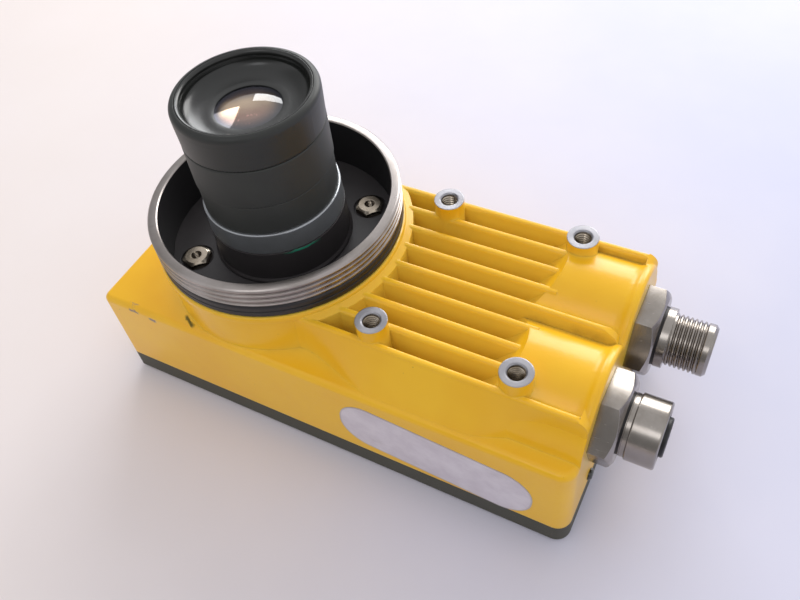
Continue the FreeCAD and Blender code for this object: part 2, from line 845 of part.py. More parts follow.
def make_front_retainer():
    """The black bowl that holds the front glass, with a thread for a filter in its mouth."""
    thread_top = bezel_top - bezel_mouth_depth
    thread_bottom = thread_top - bezel_thread_length
    return turned([(glass_lip_radius, bezel_bottom), (bezel_radius, bezel_bottom), (bezel_radius, bezel_top),
                   (bezel_mouth_radius, bezel_top), (bezel_thread_radius, thread_top),
                   (bezel_thread_radius, thread_bottom),
                   (bezel_thread_radius, bezel_bottom + bezel_floor, bezel_bowl_round),
                   (glass_lip_radius + bezel_foot, bezel_bottom + bezel_foot),
                   (glass_lip_radius, bezel_bottom + glass_lip_thickness)])


def make_front_glass():
    return glass_disc(cell_bore(), bezel_bottom - front_glass_thickness,
                      front_glass_thickness, glass_lip_radius, front_glass_rise)


def make_middle_glasses():
    radius = cell_bore()
    front = diaphragm_top + middle_glass_front_gap
    rear = diaphragm_bottom - middle_glass_rear_gap - middle_glass_rise - middle_glass_thickness
    return [glass_disc(radius, z, middle_glass_thickness, radius, middle_glass_rise) for z in (front, rear)]


def make_rear_glass():
    radius = tail_bore()
    disc = cylinder(radius, rear_glass_bottom, rear_glass_bottom + rear_glass_thickness)
    return cut(disc, [hollow(radius, rear_glass_bottom, rear_glass_rise)])


def make_diaphragm():
    return turned([(diaphragm_hole_radius, diaphragm_bottom), (cell_bore(), diaphragm_bottom),
                   (cell_bore(), diaphragm_top), (diaphragm_hole_radius, diaphragm_top)])


# ---------------------------------------------------------------- connectors
def shell_inner_end():
    return x_connector - panel_thread_length


def hexagon_flange(y, turn):
    """The hexagonal flange that seats on the end wall, chamfered round its outer face."""
    end = x_connector + flange_length
    bar = hexagon_x(flange_flats, x_connector, end, y, connector_height, turn)
    corner = flange_flats / sqrt(3)
    keep = turned_x([(x_connector, 0), (x_connector, corner), (end - flange_chamfer, corner),
                     (end, corner - flange_chamfer * 1.6), (end, 0)], y, connector_height)
    return bar.common(keep)


def make_power_shell():
    """Male M12 connector: a threaded stub with a socket that holds the pins."""
    y = connector_y
    flange_end = x_connector + flange_length
    seal_end = flange_end + power_seal_thickness
    neck_end = seal_end + power_neck_length
    end = x_connector + power_length
    stub = turned_x([(shell_inner_end(), 0), (shell_inner_end(), panel_thread_radius),
                     (x_connector, panel_thread_radius), (x_connector, power_neck_radius - power_seal_seat),
                     (seal_end, power_neck_radius - power_seal_seat), (seal_end, power_neck_radius),
                     (neck_end, power_neck_radius), (neck_end, power_thread_radius),
                     (end - power_thread_chamfer, power_thread_radius),
                     (end, power_thread_radius - power_thread_chamfer), (end, 0)], y, connector_height)
    back = cylinder_x(shell_bore_radius, shell_inner_end() - overshoot, end - power_socket_depth,
                      y, connector_height)
    socket = cylinder_x(power_socket_radius, end - power_socket_depth - overshoot, end + overshoot,
                        y, connector_height)
    return cut(fuse([stub, hexagon_flange(y, power_turn)]), [back, socket])


def make_power_seal():
    y = connector_y
    start = x_connector + flange_length
    end = start + power_seal_thickness
    inner = power_neck_radius - power_seal_seat + seat_clearance
    outer = power_neck_radius - power_seal_sunk
    return turned_x([(start, inner), (start, outer), (end, outer), (end, inner)], y, connector_height)


def make_power_insert():
    end = x_connector + power_length - power_socket_depth
    body = cylinder_x(shell_bore_radius - insert_clearance, shell_inner_end(), end,
                      connector_y, connector_height)
    return cut(body, make_power_pins())


def make_power_pins():
    start = connector_board_start() - pin_tail
    end = x_connector + power_length - power_pin_below_rim
    spots = [(0.0, 0.0)]
    for k in range(power_pin_count):
        angle = 2 * pi * k / power_pin_count
        spots.append((power_pin_circle * sin(angle), power_pin_circle * cos(angle)))
    tip = power_pin_radius * 0.5
    pins = []
    for dy, dz in spots:
        pins.append(turned_x([(start, 0), (start, power_pin_radius), (end - tip, power_pin_radius),
                              (end, power_pin_radius - tip), (end, 0)],
                             connector_y + dy, connector_height + dz))
    return pins


def make_network_shell():
    """Female M12 connector: a smooth collar with its thread inside."""
    y = -connector_y
    flange_end = x_connector + flange_length
    seal_end = flange_end + network_seal_thickness
    neck_end = flange_end + network_neck_length
    seat = network_neck_radius - network_seal_seat
    end = x_connector + network_length
    step = end - network_bore_depth
    collar_body = turned_x([(shell_inner_end(), 0), (shell_inner_end(), panel_thread_radius),
                            (x_connector, panel_thread_radius), (x_connector, seat), (seal_end, seat),
                            (seal_end, network_neck_radius), (neck_end, network_neck_radius),
                            (neck_end, network_radius, 0.3),
                            (end, network_radius, network_edge), (end, 0)], y, connector_height)
    bore = cylinder_x(network_bore_radius, step - overshoot, end + overshoot, y, connector_height)
    back = cylinder_x(shell_bore_radius, shell_inner_end() - overshoot, step, y, connector_height)
    return cut(fuse([collar_body, hexagon_flange(y, network_turn)]), [bore, back])


def make_network_seal():
    y = -connector_y
    start = x_connector + flange_length
    end = start + network_seal_thickness
    inner = network_neck_radius - network_seal_seat + seat_clearance
    outer = network_neck_radius - network_seal_sunk
    return turned_x([(start, inner), (start, outer), (end, outer), (end, inner)], y, connector_height)


def network_spots():
    spots = []
    for k in range(network_contact_count):
        angle = 2 * pi * (k + 0.5) / network_contact_count
        spots.append((-connector_y + network_contact_circle * sin(angle),
                      connector_height + network_contact_circle * cos(angle)))
    return spots


def make_network_insert():
    y = -connector_y
    end = x_connector + network_length
    step = end - network_bore_depth
    back = shell_bore_radius - insert_clearance
    body = turned_x([(shell_inner_end(), 0), (shell_inner_end(), back), (step, back),
                     (step, network_insert_radius),
                     (end + network_insert_proud, network_insert_radius, 0.4),
                     (end + network_insert_proud, 0)], y, connector_height)
    start = connector_board_start() - pin_tail
    holes = [cylinder_x(network_contact_radius, start, end + network_insert_proud + overshoot, py, pz)
             for py, pz in network_spots()]
    return cut(body, holes)


def make_network_contacts():
    start = connector_board_start() - pin_tail
    end = x_connector + network_length + network_insert_proud - contact_sunk
    contacts = []
    for py, pz in network_spots():
        sleeve = cylinder_x(network_contact_radius, start, end, py, pz)
        hole = cylinder_x(network_contact_hole_radius, end - contact_hole_depth, end + overshoot, py, pz)
        contacts.append(sleeve.cut(hole))
    return contacts


def connector_board_start():
    return shell_inner_end() - connector_board_gap - connector_board_thickness


def make_connector_board(side):
    start = connector_board_start()
    board = cylinder_x(connector_board_radius, start, start + connector_board_thickness,
                       side * connector_y, connector_height)
    pins = make_power_pins() if side > 0 else [
        cylinder_x(network_contact_radius, start - overshoot, start + 2 * connector_board_thickness, py, pz)
        for py, pz in network_spots()]
    return cut(board, pins)


def make_connector_headers():
    end = connector_board_start()
    return [block(end - connector_header_length, end, side * connector_y - connector_header_width / 2,
                  side * connector_y + connector_header_width / 2, io_board_top(),
                  io_board_top() + connector_header_height) for side in (-1, 1)]


def make_indicators():
    """Light pipes through the end wall, each with a small round head."""
    end = x_connector + indicator_proud
    pipes = []
    for y in indicator_ys():
        pipes.append(turned_x([(end - indicator_length, 0), (end - indicator_length, indicator_radius),
                               (end, indicator_radius, indicator_proud * 0.85), (end, 0)],
                              y, indicator_height))
    return pipes


# ---------------------------------------------------------------- electronics
def io_board_top():
    return io_board_height + board_thickness


def board_half_width():
    return half_width - screw_inset - pillar_radius - board_margin


def board_spots():
    y = board_half_width() - board_spacer_inset_y
    return [(x, side * y) for x in (board_start + board_spacer_inset_x, io_board_end - board_spacer_inset_x)
            for side in (-1, 1)]


def board_plate(bottom, end):
    half = board_half_width()
    corners = [(board_start, -half, board_corner), (end, -half, board_corner),
               (end, half, board_corner), (board_start, half, board_corner)]
    board = outline(corners, on_xy(bottom)).extrude(Vector(0, 0, board_thickness))
    top = bottom + board_thickness
    return cut(board, [cylinder(board_screw_shank_radius, bottom - overshoot, top + overshoot, x, y)
                       for x, y in board_spots()])


def make_processor_board():
    return board_plate(processor_board_height, processor_board_end)


def make_io_board():
    return board_plate(io_board_height, io_board_end)


def make_board_spacers():
    spacers = []
    levels = ((cover_floor, processor_board_height),
              (processor_board_height + board_thickness, io_board_height))
    for x, y in board_spots():
        for low, high in levels:
            post = cylinder(board_spacer_radius, low, high, x, y)
            hole_start = low + board_spacer_floor if low == cover_floor else low - overshoot
            spacers.append(post.cut(cylinder(board_screw_shank_radius, hole_start, high + overshoot, x, y)))
    return spacers


def make_board_screws():
    top = io_board_top()
    return [fuse([cylinder(board_screw_radius, top, top + board_screw_height, x, y),
                  cylinder(board_screw_shank_radius, cover_floor + board_spacer_floor, top, x, y)])
            for x, y in board_spots()]


def make_chips():
    bottom = processor_board_height + board_thickness
    chips = []
    for x, y, size in chip_places:
        corners = [(x + dx * size / 2, y + dy * size / 2, 0.6)
                   for dx, dy in ((-1, -1), (1, -1), (1, 1), (-1, 1))]
        chips.append(outline(corners, on_xy(bottom)).extrude(Vector(0, 0, chip_thickness)))
    return chips


def make_board_headers():
    low = block(header_x - header_width / 2, header_x + header_width / 2, -header_length / 2,
                header_length / 2, processor_board_height + board_thickness, io_board_height)
    high = block(sensor_header_x - header_width / 2, sensor_header_x + header_width / 2,
                 -sensor_header_length / 2, sensor_header_length / 2, io_board_top(), sensor_board_bottom)
    return [low, high]


def sensor_spacer_spots():
    reach = sensor_spacer_circle / sqrt(2)
    return [(dx * reach, dy * reach) for dx in (-1, 1) for dy in (-1, 1)]


def make_sensor_board():
    half = sensor_board_width / 2
    corners = [(-half, -half, board_corner), (half, -half, board_corner),
               (half, half, board_corner), (-half, half, board_corner)]
    board = outline(corners, on_xy(sensor_board_bottom)).extrude(Vector(0, 0, board_thickness))
    return cut(board, [cylinder(board_screw_shank_radius, 0, sensor_plane, x, y)
                       for x, y in sensor_spacer_spots()])


def make_image_sensor():
    bottom = sensor_plane - sensor_thickness
    return block(-sensor_width / 2, sensor_width / 2, -sensor_depth / 2, sensor_depth / 2,
                 bottom, sensor_plane)


def make_sensor_spacers():
    bottom = sensor_board_bottom + board_thickness
    return [cylinder(sensor_spacer_radius, bottom, well_ledge_top, x, y).cut(
        cylinder(board_screw_shank_radius, bottom - overshoot, well_ledge_top + overshoot, x, y))
        for x, y in sensor_spacer_spots()]


def make_sensor_screws():
    bottom = sensor_board_bottom
    return [fuse([cylinder(sensor_spacer_radius, bottom - board_screw_height, bottom, x, y),
                  cylinder(board_screw_shank_radius, bottom, well_ledge_top + sensor_screw_grip, x, y)])
            for x, y in sensor_spacer_spots()]


# ---------------------------------------------------------------- label
def make_label():
    """A blank paper label with round ends on one side wall."""
    half_length, half_height = label_length / 2, label_height / 2
    corners = [(-half_length, -half_height, label_corner), (half_length, -half_height, label_corner),
               (half_length, half_height, label_corner), (-half_length, half_height, label_corner)]
    label = outline(corners, on_xz(0)).extrude(Vector(0, -label_thickness, 0))
    label.rotate(Vector(0, 0, 0), Vector(0, 1, 0), label_tilt)
    label.translate(Vector(label_middle_x, -half_width, label_middle_z))
    return label


# ---------------------------------------------------------------- all nodes
nodes = {
    "main_housing": make_housing,
    "back_cover": make_back_cover,
    "cover_gasket": make_cover_gasket,
    "cover_screws": make_cover_screws,
    "cover_ring": make_cover_ring,
    "ring_seal": make_ring_seal,
    "lens_plate": make_lens_plate,
    "hex_standoffs": make_standoffs,
    "filter_glass": make_filter_glass,
    "lens_base": make_lens_base,
    "lens_barrel": make_lens_barrel,
    "iris_ring": make_iris_ring,
    "focus_ring": make_focus_ring,
    "lens_cell": make_lens_cell,
    "front_retainer": make_front_retainer,
    "front_glass": make_front_glass,
    "middle_glasses": make_middle_glasses,
    "rear_glass": make_rear_glass,
    "iris_diaphragm": make_diaphragm,
    "power_shell": make_power_shell,
    "power_seal": make_power_seal,
    "power_insert": make_power_insert,
    "power_pins": make_power_pins,
    "power_board": lambda: make_connector_board(1),
    "network_shell": make_network_shell,
    "network_seal": make_network_seal,
    "network_insert": make_network_insert,
    "network_contacts": make_network_contacts,
    "network_board": lambda: make_connector_board(-1),
    "connector_headers": make_connector_headers,
    "indicator_lenses": make_indicators,
    "processor_board": make_processor_board,
    "processor_chips": make_chips,
    "io_board": make_io_board,
    "board_headers": make_board_headers,
    "board_spacers": make_board_spacers,
    "board_screws": make_board_screws,
    "sensor_board": make_sensor_board,
    "image_sensor": make_image_sensor,
    "sensor_spacers": make_sensor_spacers,
    "sensor_screws": make_sensor_screws,
    "paper_label": make_label,
}

os.makedirs("parts", exist_ok=True)
for name, make in nodes.items():
    made = make()
    shape = Part.makeCompound(made) if isinstance(made, list) else made
    shape.exportStep("parts/" + name + ".step")
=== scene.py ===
"""Looks for a machine vision camera lying on its back cover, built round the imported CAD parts."""

import math

import bmesh
import bpy
from mathutils import Matrix, Vector


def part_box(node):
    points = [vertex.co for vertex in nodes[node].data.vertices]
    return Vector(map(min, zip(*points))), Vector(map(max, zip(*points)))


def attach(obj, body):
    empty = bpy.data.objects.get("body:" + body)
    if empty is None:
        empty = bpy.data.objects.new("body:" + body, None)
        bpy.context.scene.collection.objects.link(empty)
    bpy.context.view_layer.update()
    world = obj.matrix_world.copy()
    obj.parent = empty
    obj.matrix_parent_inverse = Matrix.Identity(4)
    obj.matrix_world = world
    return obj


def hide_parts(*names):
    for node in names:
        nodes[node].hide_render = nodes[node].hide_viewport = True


MM = 0.001
TURN = 2 * math.pi

# The CAD part's sizes that the looks follow, in millimetres. The lens axis is x = y = 0.
BOSS_MIDDLE_X, BOSS_HALF_X, BOSS_Y, BOSS_TOP = 52.65, 16.55, 19.77, 45.1
WELL_RADIUS, SPIGOT_RADIUS, PLATE_TOP, PEDESTAL_RADIUS = 27.84, 29.15, 48.6, 16.5
STANDOFF_CIRCLE, STANDOFF_ANGLES, STANDOFF_TOP = 22.2, (45, 225), 40.0
CONNECTOR_Y, CONNECTOR_Z, CONNECTOR_FLATS_END = 12.3, 28.8, 90.7
LABEL_X, LABEL_Z, LABEL_TILT = 53.8, 16.4, 5.0
LABEL_HALF_LENGTH, LABEL_HALF_HEIGHT, LABEL_CORNER = 23.8, 8.1, 7.6

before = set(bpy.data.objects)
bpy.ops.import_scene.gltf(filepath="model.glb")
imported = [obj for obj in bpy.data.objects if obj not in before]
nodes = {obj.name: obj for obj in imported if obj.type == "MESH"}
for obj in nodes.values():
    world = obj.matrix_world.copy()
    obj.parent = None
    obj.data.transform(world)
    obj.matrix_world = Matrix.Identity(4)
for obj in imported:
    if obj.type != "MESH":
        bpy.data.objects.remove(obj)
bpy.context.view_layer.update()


# ---------------------------------------------------------------- node helpers
def srgb(r, g, b):
    """An 8-bit screen colour as the linear colour that a shader takes."""
    def linear(c):
        c /= 255
        return c / 12.92 if c <= 0.04045 else ((c + 0.055) / 1.055) ** 2.4
    return (linear(r), linear(g), linear(b), 1.0)


class Graph:
    """One material's node tree, with short calls for the nodes used here. Lengths are in metres."""

    def __init__(self, name, color, roughness, metallic=0.0, **plain):
        self.material = bpy.data.materials.new(name)
        self.material.use_nodes = True
        self.tree = self.material.node_tree
        self.shader = self.tree.nodes["Principled BSDF"]
        self.set("Base Color", color)
        self.set("Roughness", roughness)
        self.set("Metallic", metallic)
        for socket, value in plain.items():
            self.set(socket.replace("_", " "), value)
        self.place = self.node("ShaderNodeTexCoord").outputs["Object"]
        split = self.node("ShaderNodeSeparateXYZ")
        self.tree.links.new(self.place, split.inputs[0])
        self.x, self.y, self.z = split.outputs

    def node(self, kind, **settings):
        made = self.tree.nodes.new(kind)
        for key, value in settings.items():
            setattr(made, key, value)
        return made

    def put(self, socket, value):
        if isinstance(value, bpy.types.NodeSocket):
            self.tree.links.new(value, socket)
        else:
            socket.default_value = value

    def set(self, name, value):
        self.put(self.shader.inputs[name], value)

    def math(self, operation, a, b=0.0):
        made = self.node("ShaderNodeMath", operation=operation)
        self.put(made.inputs[0], a)
        self.put(made.inputs[1], b)
        return made.outputs[0]

    def times(self, *factors):
        result = factors[0]
        for factor in factors[1:]:
            result = self.math("MULTIPLY", result, factor)
        return result

    def plus(self, *terms):
        result = terms[0]
        for term in terms[1:]:
            result = self.math("ADD", result, term)
        return result

    def step(self, value, low, high):
        """0 below low, 1 above high; low may be the larger one."""
        made = self.node("ShaderNodeMapRange", interpolation_type="SMOOTHSTEP")
        if low > high:
            made.inputs["To Min"].default_value, made.inputs["To Max"].default_value = 1.0, 0.0
            low, high = high, low
        self.put(made.inputs["Value"], value)
        made.inputs["From Min"].default_value = low
        made.inputs["From Max"].default_value = high
        return made.outputs["Result"]

    def band(self, value, low, high, soft):
        """1 between low and high, with soft edges."""
        return self.times(self.step(value, low - soft / 2, low + soft / 2),
                          self.step(value, high + soft / 2, high - soft / 2))

    def noise(self, size, detail, rough, stretch=None, seed=0.0):
        """Noise with features about size metres across, about 0.5 on average."""
        where = self.place
        if stretch or seed:
            mapping = self.node("ShaderNodeMapping")
            self.put(mapping.inputs["Vector"], where)
            mapping.inputs["Scale"].default_value = stretch or (1, 1, 1)
            mapping.inputs["Location"].default_value = (seed, seed * 0.7, seed * 1.3)
            where = mapping.outputs[0]
        made = self.node("ShaderNodeTexNoise")
        self.put(made.inputs["Vector"], where)
        made.inputs["Scale"].default_value = 1 / size
        made.inputs["Detail"].default_value = detail
        made.inputs["Roughness"].default_value = rough
        return made.outputs[0]

    def mix(self, factor, a, b):
        made = self.node("ShaderNodeMix", data_type="RGBA")
        self.put(made.inputs["Factor"], factor)
        self.put(made.inputs[6], a)
        self.put(made.inputs[7], b)
        return made.outputs[2]

    def blend(self, factor, a, b):
        """A plain number between a and b."""
        made = self.node("ShaderNodeMapRange")
        self.put(made.inputs["Value"], factor)
        made.inputs["To Min"].default_value = a
        made.inputs["To Max"].default_value = b
        return made.outputs["Result"]

    def length(self, a, b):
        return self.math("SQRT", self.plus(self.times(a, a), self.times(b, b)))

    def radius(self):
        """Distance from the lens axis."""
        return self.length(self.x, self.y)

    def around(self):
        """Angle about the lens axis, from -pi to pi."""
        return self.math("ARCTAN2", self.y, self.x)

    def bevel(self, radius):
        made = self.node("ShaderNodeBevel", samples=6)
        made.inputs["Radius"].default_value = radius
        return made.outputs[0]

    def wobble(self, size, detail, rough, seed, width):
        """Noise that swings about width metres round zero, for a ragged edge."""
        return self.times(self.math("SUBTRACT", self.noise(size, detail, rough, seed=seed), 0.5), width)

    def bump(self, height, distance, normal=None):
        made = self.node("ShaderNodeBump")
        self.put(made.inputs["Height"], height)
        made.inputs["Distance"].default_value = distance
        if normal is not None:
            self.put(made.inputs["Normal"], normal)
        return made.outputs[0]

    def crevice(self, distance):
        """1 in the open, less in tight corners."""
        made = self.node("ShaderNodeAmbientOcclusion", samples=6)
        made.inputs["Distance"].default_value = distance
        return made.outputs["AO"]

    def finish(self, normal=None):
        if normal is not None:
            self.set("Normal", normal)
        return self.material


# ---------------------------------------------------------------- materials
def yellow_paint():
    """Powder-coated casting, with bare machined boss tops, worn corners and a few marks. Its paint is made
    paler in deep recesses as painted light, and browner in tight corners as painted shade mixed with patchy
    dirt.
    """
    g = Graph("yellow_paint", srgb(243, 186, 34), 0.34, Coat_Weight=0.16, Coat_Roughness=0.14,
              Specular_IOR_Level=0.38)
    x, y, z = g.x, g.y, g.z
    patches = g.noise(28 * MM, 3, 0.6)
    paint = g.mix(g.step(patches, 0.35, 0.65), srgb(242, 184, 24), srgb(246, 192, 32))
    # painted light: deep recesses, such as the channels between the fins, get a paler lemon yellow
    painted_light_in_recesses = g.step(g.crevice(9 * MM), 0.85, 0.3)
    paint = g.mix(painted_light_in_recesses, paint, srgb(246, 214, 86))
    # painted shade mixed with dirt: tight corners turn browner, in patches
    corner_shade_and_grime = g.times(g.step(g.crevice(4 * MM), 0.6, 0.2), g.step(g.noise(6 * MM, 4, 0.6, seed=3), 0.4, 0.65))
    paint = g.mix(g.times(corner_shade_and_grime, 0.4), paint, srgb(170, 124, 44))
    specks = g.times(g.step(g.noise(1.1 * MM, 2, 0.5, seed=7), 0.74, 0.77),
                     g.step(g.noise(22 * MM, 2, 0.5, seed=1), 0.5, 0.62))
    paint = g.mix(g.times(specks, 0.5), paint, srgb(120, 84, 40))

    # bare metal: boss tops and the drilled holes
    from_middle = g.math("ABSOLUTE", g.math("SUBTRACT", x, BOSS_MIDDLE_X * MM))
    fold_x = g.math("SUBTRACT", from_middle, BOSS_HALF_X * MM)
    fold_y = g.math("SUBTRACT", g.math("ABSOLUTE", y), BOSS_Y * MM)
    from_boss = g.length(fold_x, fold_y)
    on_boss = g.step(from_boss, 3.75 * MM, 3.65 * MM)
    edge = g.math("ADD", z, g.times(g.math("SUBTRACT", g.noise(0.8 * MM, 3, 0.6), 0.5), 0.25 * MM))
    top = g.times(on_boss, g.step(edge, (BOSS_TOP - 0.16) * MM, (BOSS_TOP - 0.1) * MM))
    hole = g.times(g.step(from_boss, 2.4 * MM, 2.35 * MM), g.step(z, 37.5 * MM, 38 * MM))
    bare = g.math("MAXIMUM", top, hole)

    # two chips on the near top edge, by the plain end
    ragged = g.wobble(1.4 * MM, 3, 0.65, 5, 1.8 * MM)
    lean = g.plus(x, g.times(y, 0.35), ragged)
    down = g.plus(z, g.times(y, -0.5), ragged)
    first = g.times(g.band(lean, -40.4 * MM, -37.4 * MM, 0.6 * MM),
                    g.band(down, 43.9 * MM, 44.6 * MM, 0.5 * MM))
    second = g.times(g.band(lean, -34.4 * MM, -32.2 * MM, 0.6 * MM),
                     g.band(down, 43.0 * MM, 44.1 * MM, 0.5 * MM))
    near_edge = g.step(y, -28.9 * MM, -29.3 * MM)
    chips = g.times(g.math("MAXIMUM", first, second), near_edge)

    # a dark green dab at the foot of the collar
    across = g.plus(g.times(x, 0.52), g.times(y, 0.85), g.wobble(1.5 * MM, 2, 0.5, 9, 1.4 * MM))
    along = g.plus(g.times(x, 0.85), g.times(y, -0.52))
    dab = g.times(g.band(across, -30.6 * MM, -29.8 * MM, 0.5 * MM),
                  g.band(along, 2.4 * MM, 6.6 * MM, 1.2 * MM),
                  g.step(z, 41 * MM, 40 * MM), g.step(y, -24 * MM, -25 * MM))

    # the joint with the lens plate, deep in the well, is black
    joint = g.times(g.step(g.radius(), (SPIGOT_RADIUS + 0.2) * MM, (SPIGOT_RADIUS + 0.1) * MM),
                    g.step(z, 30 * MM, 31 * MM))

    color = g.mix(g.times(chips, 0.85), paint, srgb(126, 116, 128))
    color = g.mix(g.times(dab, 0.9), color, srgb(58, 70, 18))
    color = g.mix(joint, color, srgb(26, 25, 27))
    rings = g.math("SINE", g.times(from_boss, TURN / (0.22 * MM)))
    metal = g.mix(g.step(rings, -1, 1), srgb(150, 149, 154), srgb(168, 167, 172))
    g.set("Base Color", g.mix(bare, color, metal))
    g.set("Metallic", g.times(bare, 0.8))
    g.set("Roughness", g.math("MAXIMUM", g.blend(patches, 0.26, 0.36), g.times(chips, 0.6)))
    orange_peel = g.plus(g.times(g.noise(0.9 * MM, 2, 0.5), 0.6),
                         g.times(g.noise(3.2 * MM, 2, 0.5, seed=2), 0.4))
    relief = g.plus(g.times(orange_peel, g.math("SUBTRACT", 1.0, bare)), g.times(rings, bare, 0.12),
                    g.times(chips, -0.6))
    return g.finish(g.bump(relief, 0.05 * MM, g.bevel(0.35 * MM)))


def cover_black():
    """Dark cast back cover with a fine sandy texture."""
    g = Graph("cover_black", srgb(66, 66, 58), 0.55)
    grain = g.noise(0.5 * MM, 3, 0.6)
    cloud = g.noise(18 * MM, 3, 0.6, seed=4)
    base = g.mix(cloud, srgb(54, 54, 44), srgb(74, 73, 60))
    dust = g.times(g.step(g.noise(0.9 * MM, 4, 0.7, seed=8), 0.62, 0.72), g.step(cloud, 0.42, 0.62))
    g.set("Base Color", g.mix(g.times(dust, 0.35), base, srgb(150, 146, 132)))
    g.set("Roughness", g.blend(cloud, 0.46, 0.64))
    return g.finish(g.bump(grain, 0.05 * MM, g.bevel(0.3 * MM)))


def rubber_black():
    """Matt black seals with a little dust."""
    g = Graph("rubber_black", srgb(30, 29, 31), 0.5)
    cloud = g.noise(7 * MM, 4, 0.6)
    dust = g.step(g.noise(0.7 * MM, 4, 0.7, seed=2), 0.62, 0.78)
    g.set("Base Color", g.mix(g.times(dust, 0.3), g.mix(cloud, srgb(24, 23, 25), srgb(38, 36, 38)),
                              srgb(110, 104, 98)))
    g.set("Roughness", g.blend(cloud, 0.36, 0.56))
    return g.finish(g.bump(g.noise(0.4 * MM, 2, 0.5), 0.02 * MM))


def ring_aluminium():
    """Turned aluminium: clean lathe rings, faint handling marks, black-painted inside."""
    g = Graph("ring_aluminium", srgb(172, 166, 162), 0.3, 1.0)
    r = g.radius()
    fine = g.noise(0.3 * MM, 2, 0.5, stretch=(0.01, 0.01, 1.0))
    turned = g.math("SINE", g.times(r, TURN / (0.3 * MM)))
    grime = g.noise(9 * MM, 4, 0.6, seed=3)
    metal = g.mix(g.step(grime, 0.35, 0.7), srgb(170, 163, 160), srgb(152, 145, 140))
    streak = g.step(g.noise(3 * MM, 3, 0.6, stretch=(1, 1, 0.25), seed=6), 0.62, 0.8)
    metal = g.mix(g.times(streak, 0.2), metal, srgb(118, 108, 98))
    inside = g.times(g.step(r, 28.15 * MM, 28.05 * MM),
                     g.step(g.z, 52.0 * MM, 51.85 * MM))
    g.set("Base Color", g.mix(inside, metal, srgb(28, 27, 29)))
    g.set("Metallic", g.math("SUBTRACT", 1.0, inside))
    g.set("Roughness", g.plus(g.blend(grime, 0.24, 0.34), g.times(inside, 0.15)))
    return g.finish(g.bump(g.plus(g.times(turned, 0.25), fine), 0.01 * MM))


def plate_black():
    """Black anodised plate at the bottom of the well, dusty, with a green thread-lock smear."""
    g = Graph("plate_black", srgb(30, 28, 31), 0.42)
    cloud = g.noise(9 * MM, 4, 0.6)
    base = g.mix(cloud, srgb(50, 47, 48), srgb(66, 62, 63))
    dust = g.times(g.step(g.noise(0.5 * MM, 5, 0.75, seed=2), 0.6, 0.75), g.step(cloud, 0.35, 0.7))
    base = g.mix(g.times(dust, 0.3), base, srgb(140, 134, 134))
    height = g.plus(g.z, g.wobble(1.5 * MM, 3, 0.6, 5, 0.7 * MM))
    smear = g.times(g.band(g.around(), -0.82, -0.42, 0.24),
                    g.band(height, (PLATE_TOP - 0.6) * MM, (PLATE_TOP - 0.1) * MM, 0.25 * MM),
                    g.step(g.radius(), (PEDESTAL_RADIUS - 0.3) * MM, (PEDESTAL_RADIUS - 0.1) * MM))
    g.set("Base Color", g.mix(smear, base, srgb(52, 160, 128)))
    g.set("Roughness", g.blend(cloud, 0.34, 0.52))
    return g.finish(g.bump(g.noise(0.3 * MM, 2, 0.5), 0.01 * MM, g.bevel(0.2 * MM)))


def nickel(name, light, dark, rough=(0.14, 0.26), connector=False):
    """Nickel plate over brass, smooth, with faint tarnish and hairline scratches.
    A connector's shell is turned about its own axis, and the flats of its hexagon are worn."""
    g = Graph(name, srgb(*light), 0.2, 1.0)
    tarnish = g.noise(6 * MM, 4, 0.6)
    metal = g.mix(g.step(tarnish, 0.35, 0.75), srgb(*light), srgb(*dark))
    scratches = g.step(g.noise(0.35 * MM, 3, 0.6, stretch=(0.12, 1, 1), seed=4), 0.64, 0.78)
    g.set("Base Color", g.mix(g.times(scratches, 0.15), metal, srgb(214, 208, 200)))
    g.set("Roughness", g.plus(g.blend(tarnish, *rough), g.times(scratches, 0.08)))
    height = g.noise(2.5 * MM, 2, 0.5)
    if connector:
        lines = g.noise(0.2 * MM, 2, 0.5, stretch=(1.0, 0.05, 0.05))
        height = g.plus(height, g.times(lines, 0.5))
    return g.finish(g.bump(height, 0.01 * MM, worn_flats(g) if connector else g.bevel(0.2 * MM)))


def worn_flats(g):
    """Normals for slightly convex hexagon flats: they lean away from the connector's own axis."""
    middle_y = g.times(g.math("SIGN", g.y), CONNECTOR_Y * MM)
    outwards = g.node("ShaderNodeCombineXYZ")
    g.put(outwards.inputs[1], g.math("SUBTRACT", g.y, middle_y))
    g.put(outwards.inputs[2], g.math("SUBTRACT", g.z, CONNECTOR_Z * MM))
    unit, lean, total, final = (g.node("ShaderNodeVectorMath", operation=kind)
                                for kind in ("NORMALIZE", "SCALE", "ADD", "NORMALIZE"))
    flat = g.bevel(0.2 * MM)
    split = g.node("ShaderNodeSeparateXYZ")
    g.put(split.inputs[0], flat)
    on_side = g.step(g.math("ABSOLUTE", split.outputs[0]), 0.5, 0.1)
    on_hexagon = g.step(g.x, (CONNECTOR_FLATS_END + 0.1) * MM, (CONNECTOR_FLATS_END - 0.1) * MM)
    g.put(unit.inputs[0], outwards.outputs[0])
    g.put(lean.inputs[0], unit.outputs[0])
    g.put(lean.inputs["Scale"], g.times(on_side, on_hexagon, 0.3))
    g.put(total.inputs[0], flat)
    g.put(total.inputs[1], lean.outputs[0])
    g.put(final.inputs[0], total.outputs[0])
    return final.outputs[0]


def lens_silver():
    """Satin silver anodised ring with fine turning lines."""
    g = Graph("lens_silver", srgb(138, 140, 142), 0.3, 0.7)
    lines = g.noise(0.18 * MM, 2, 0.5, stretch=(0.02, 0.02, 1))
    cloud = g.noise(7 * MM, 4, 0.6)
    g.set("Base Color", g.mix(cloud, srgb(150, 152, 152), srgb(178, 182, 188)))
    g.set("Roughness", g.blend(cloud, 0.28, 0.38))
    return g.finish(g.bump(lines, 0.006 * MM, g.bevel(0.1 * MM)))


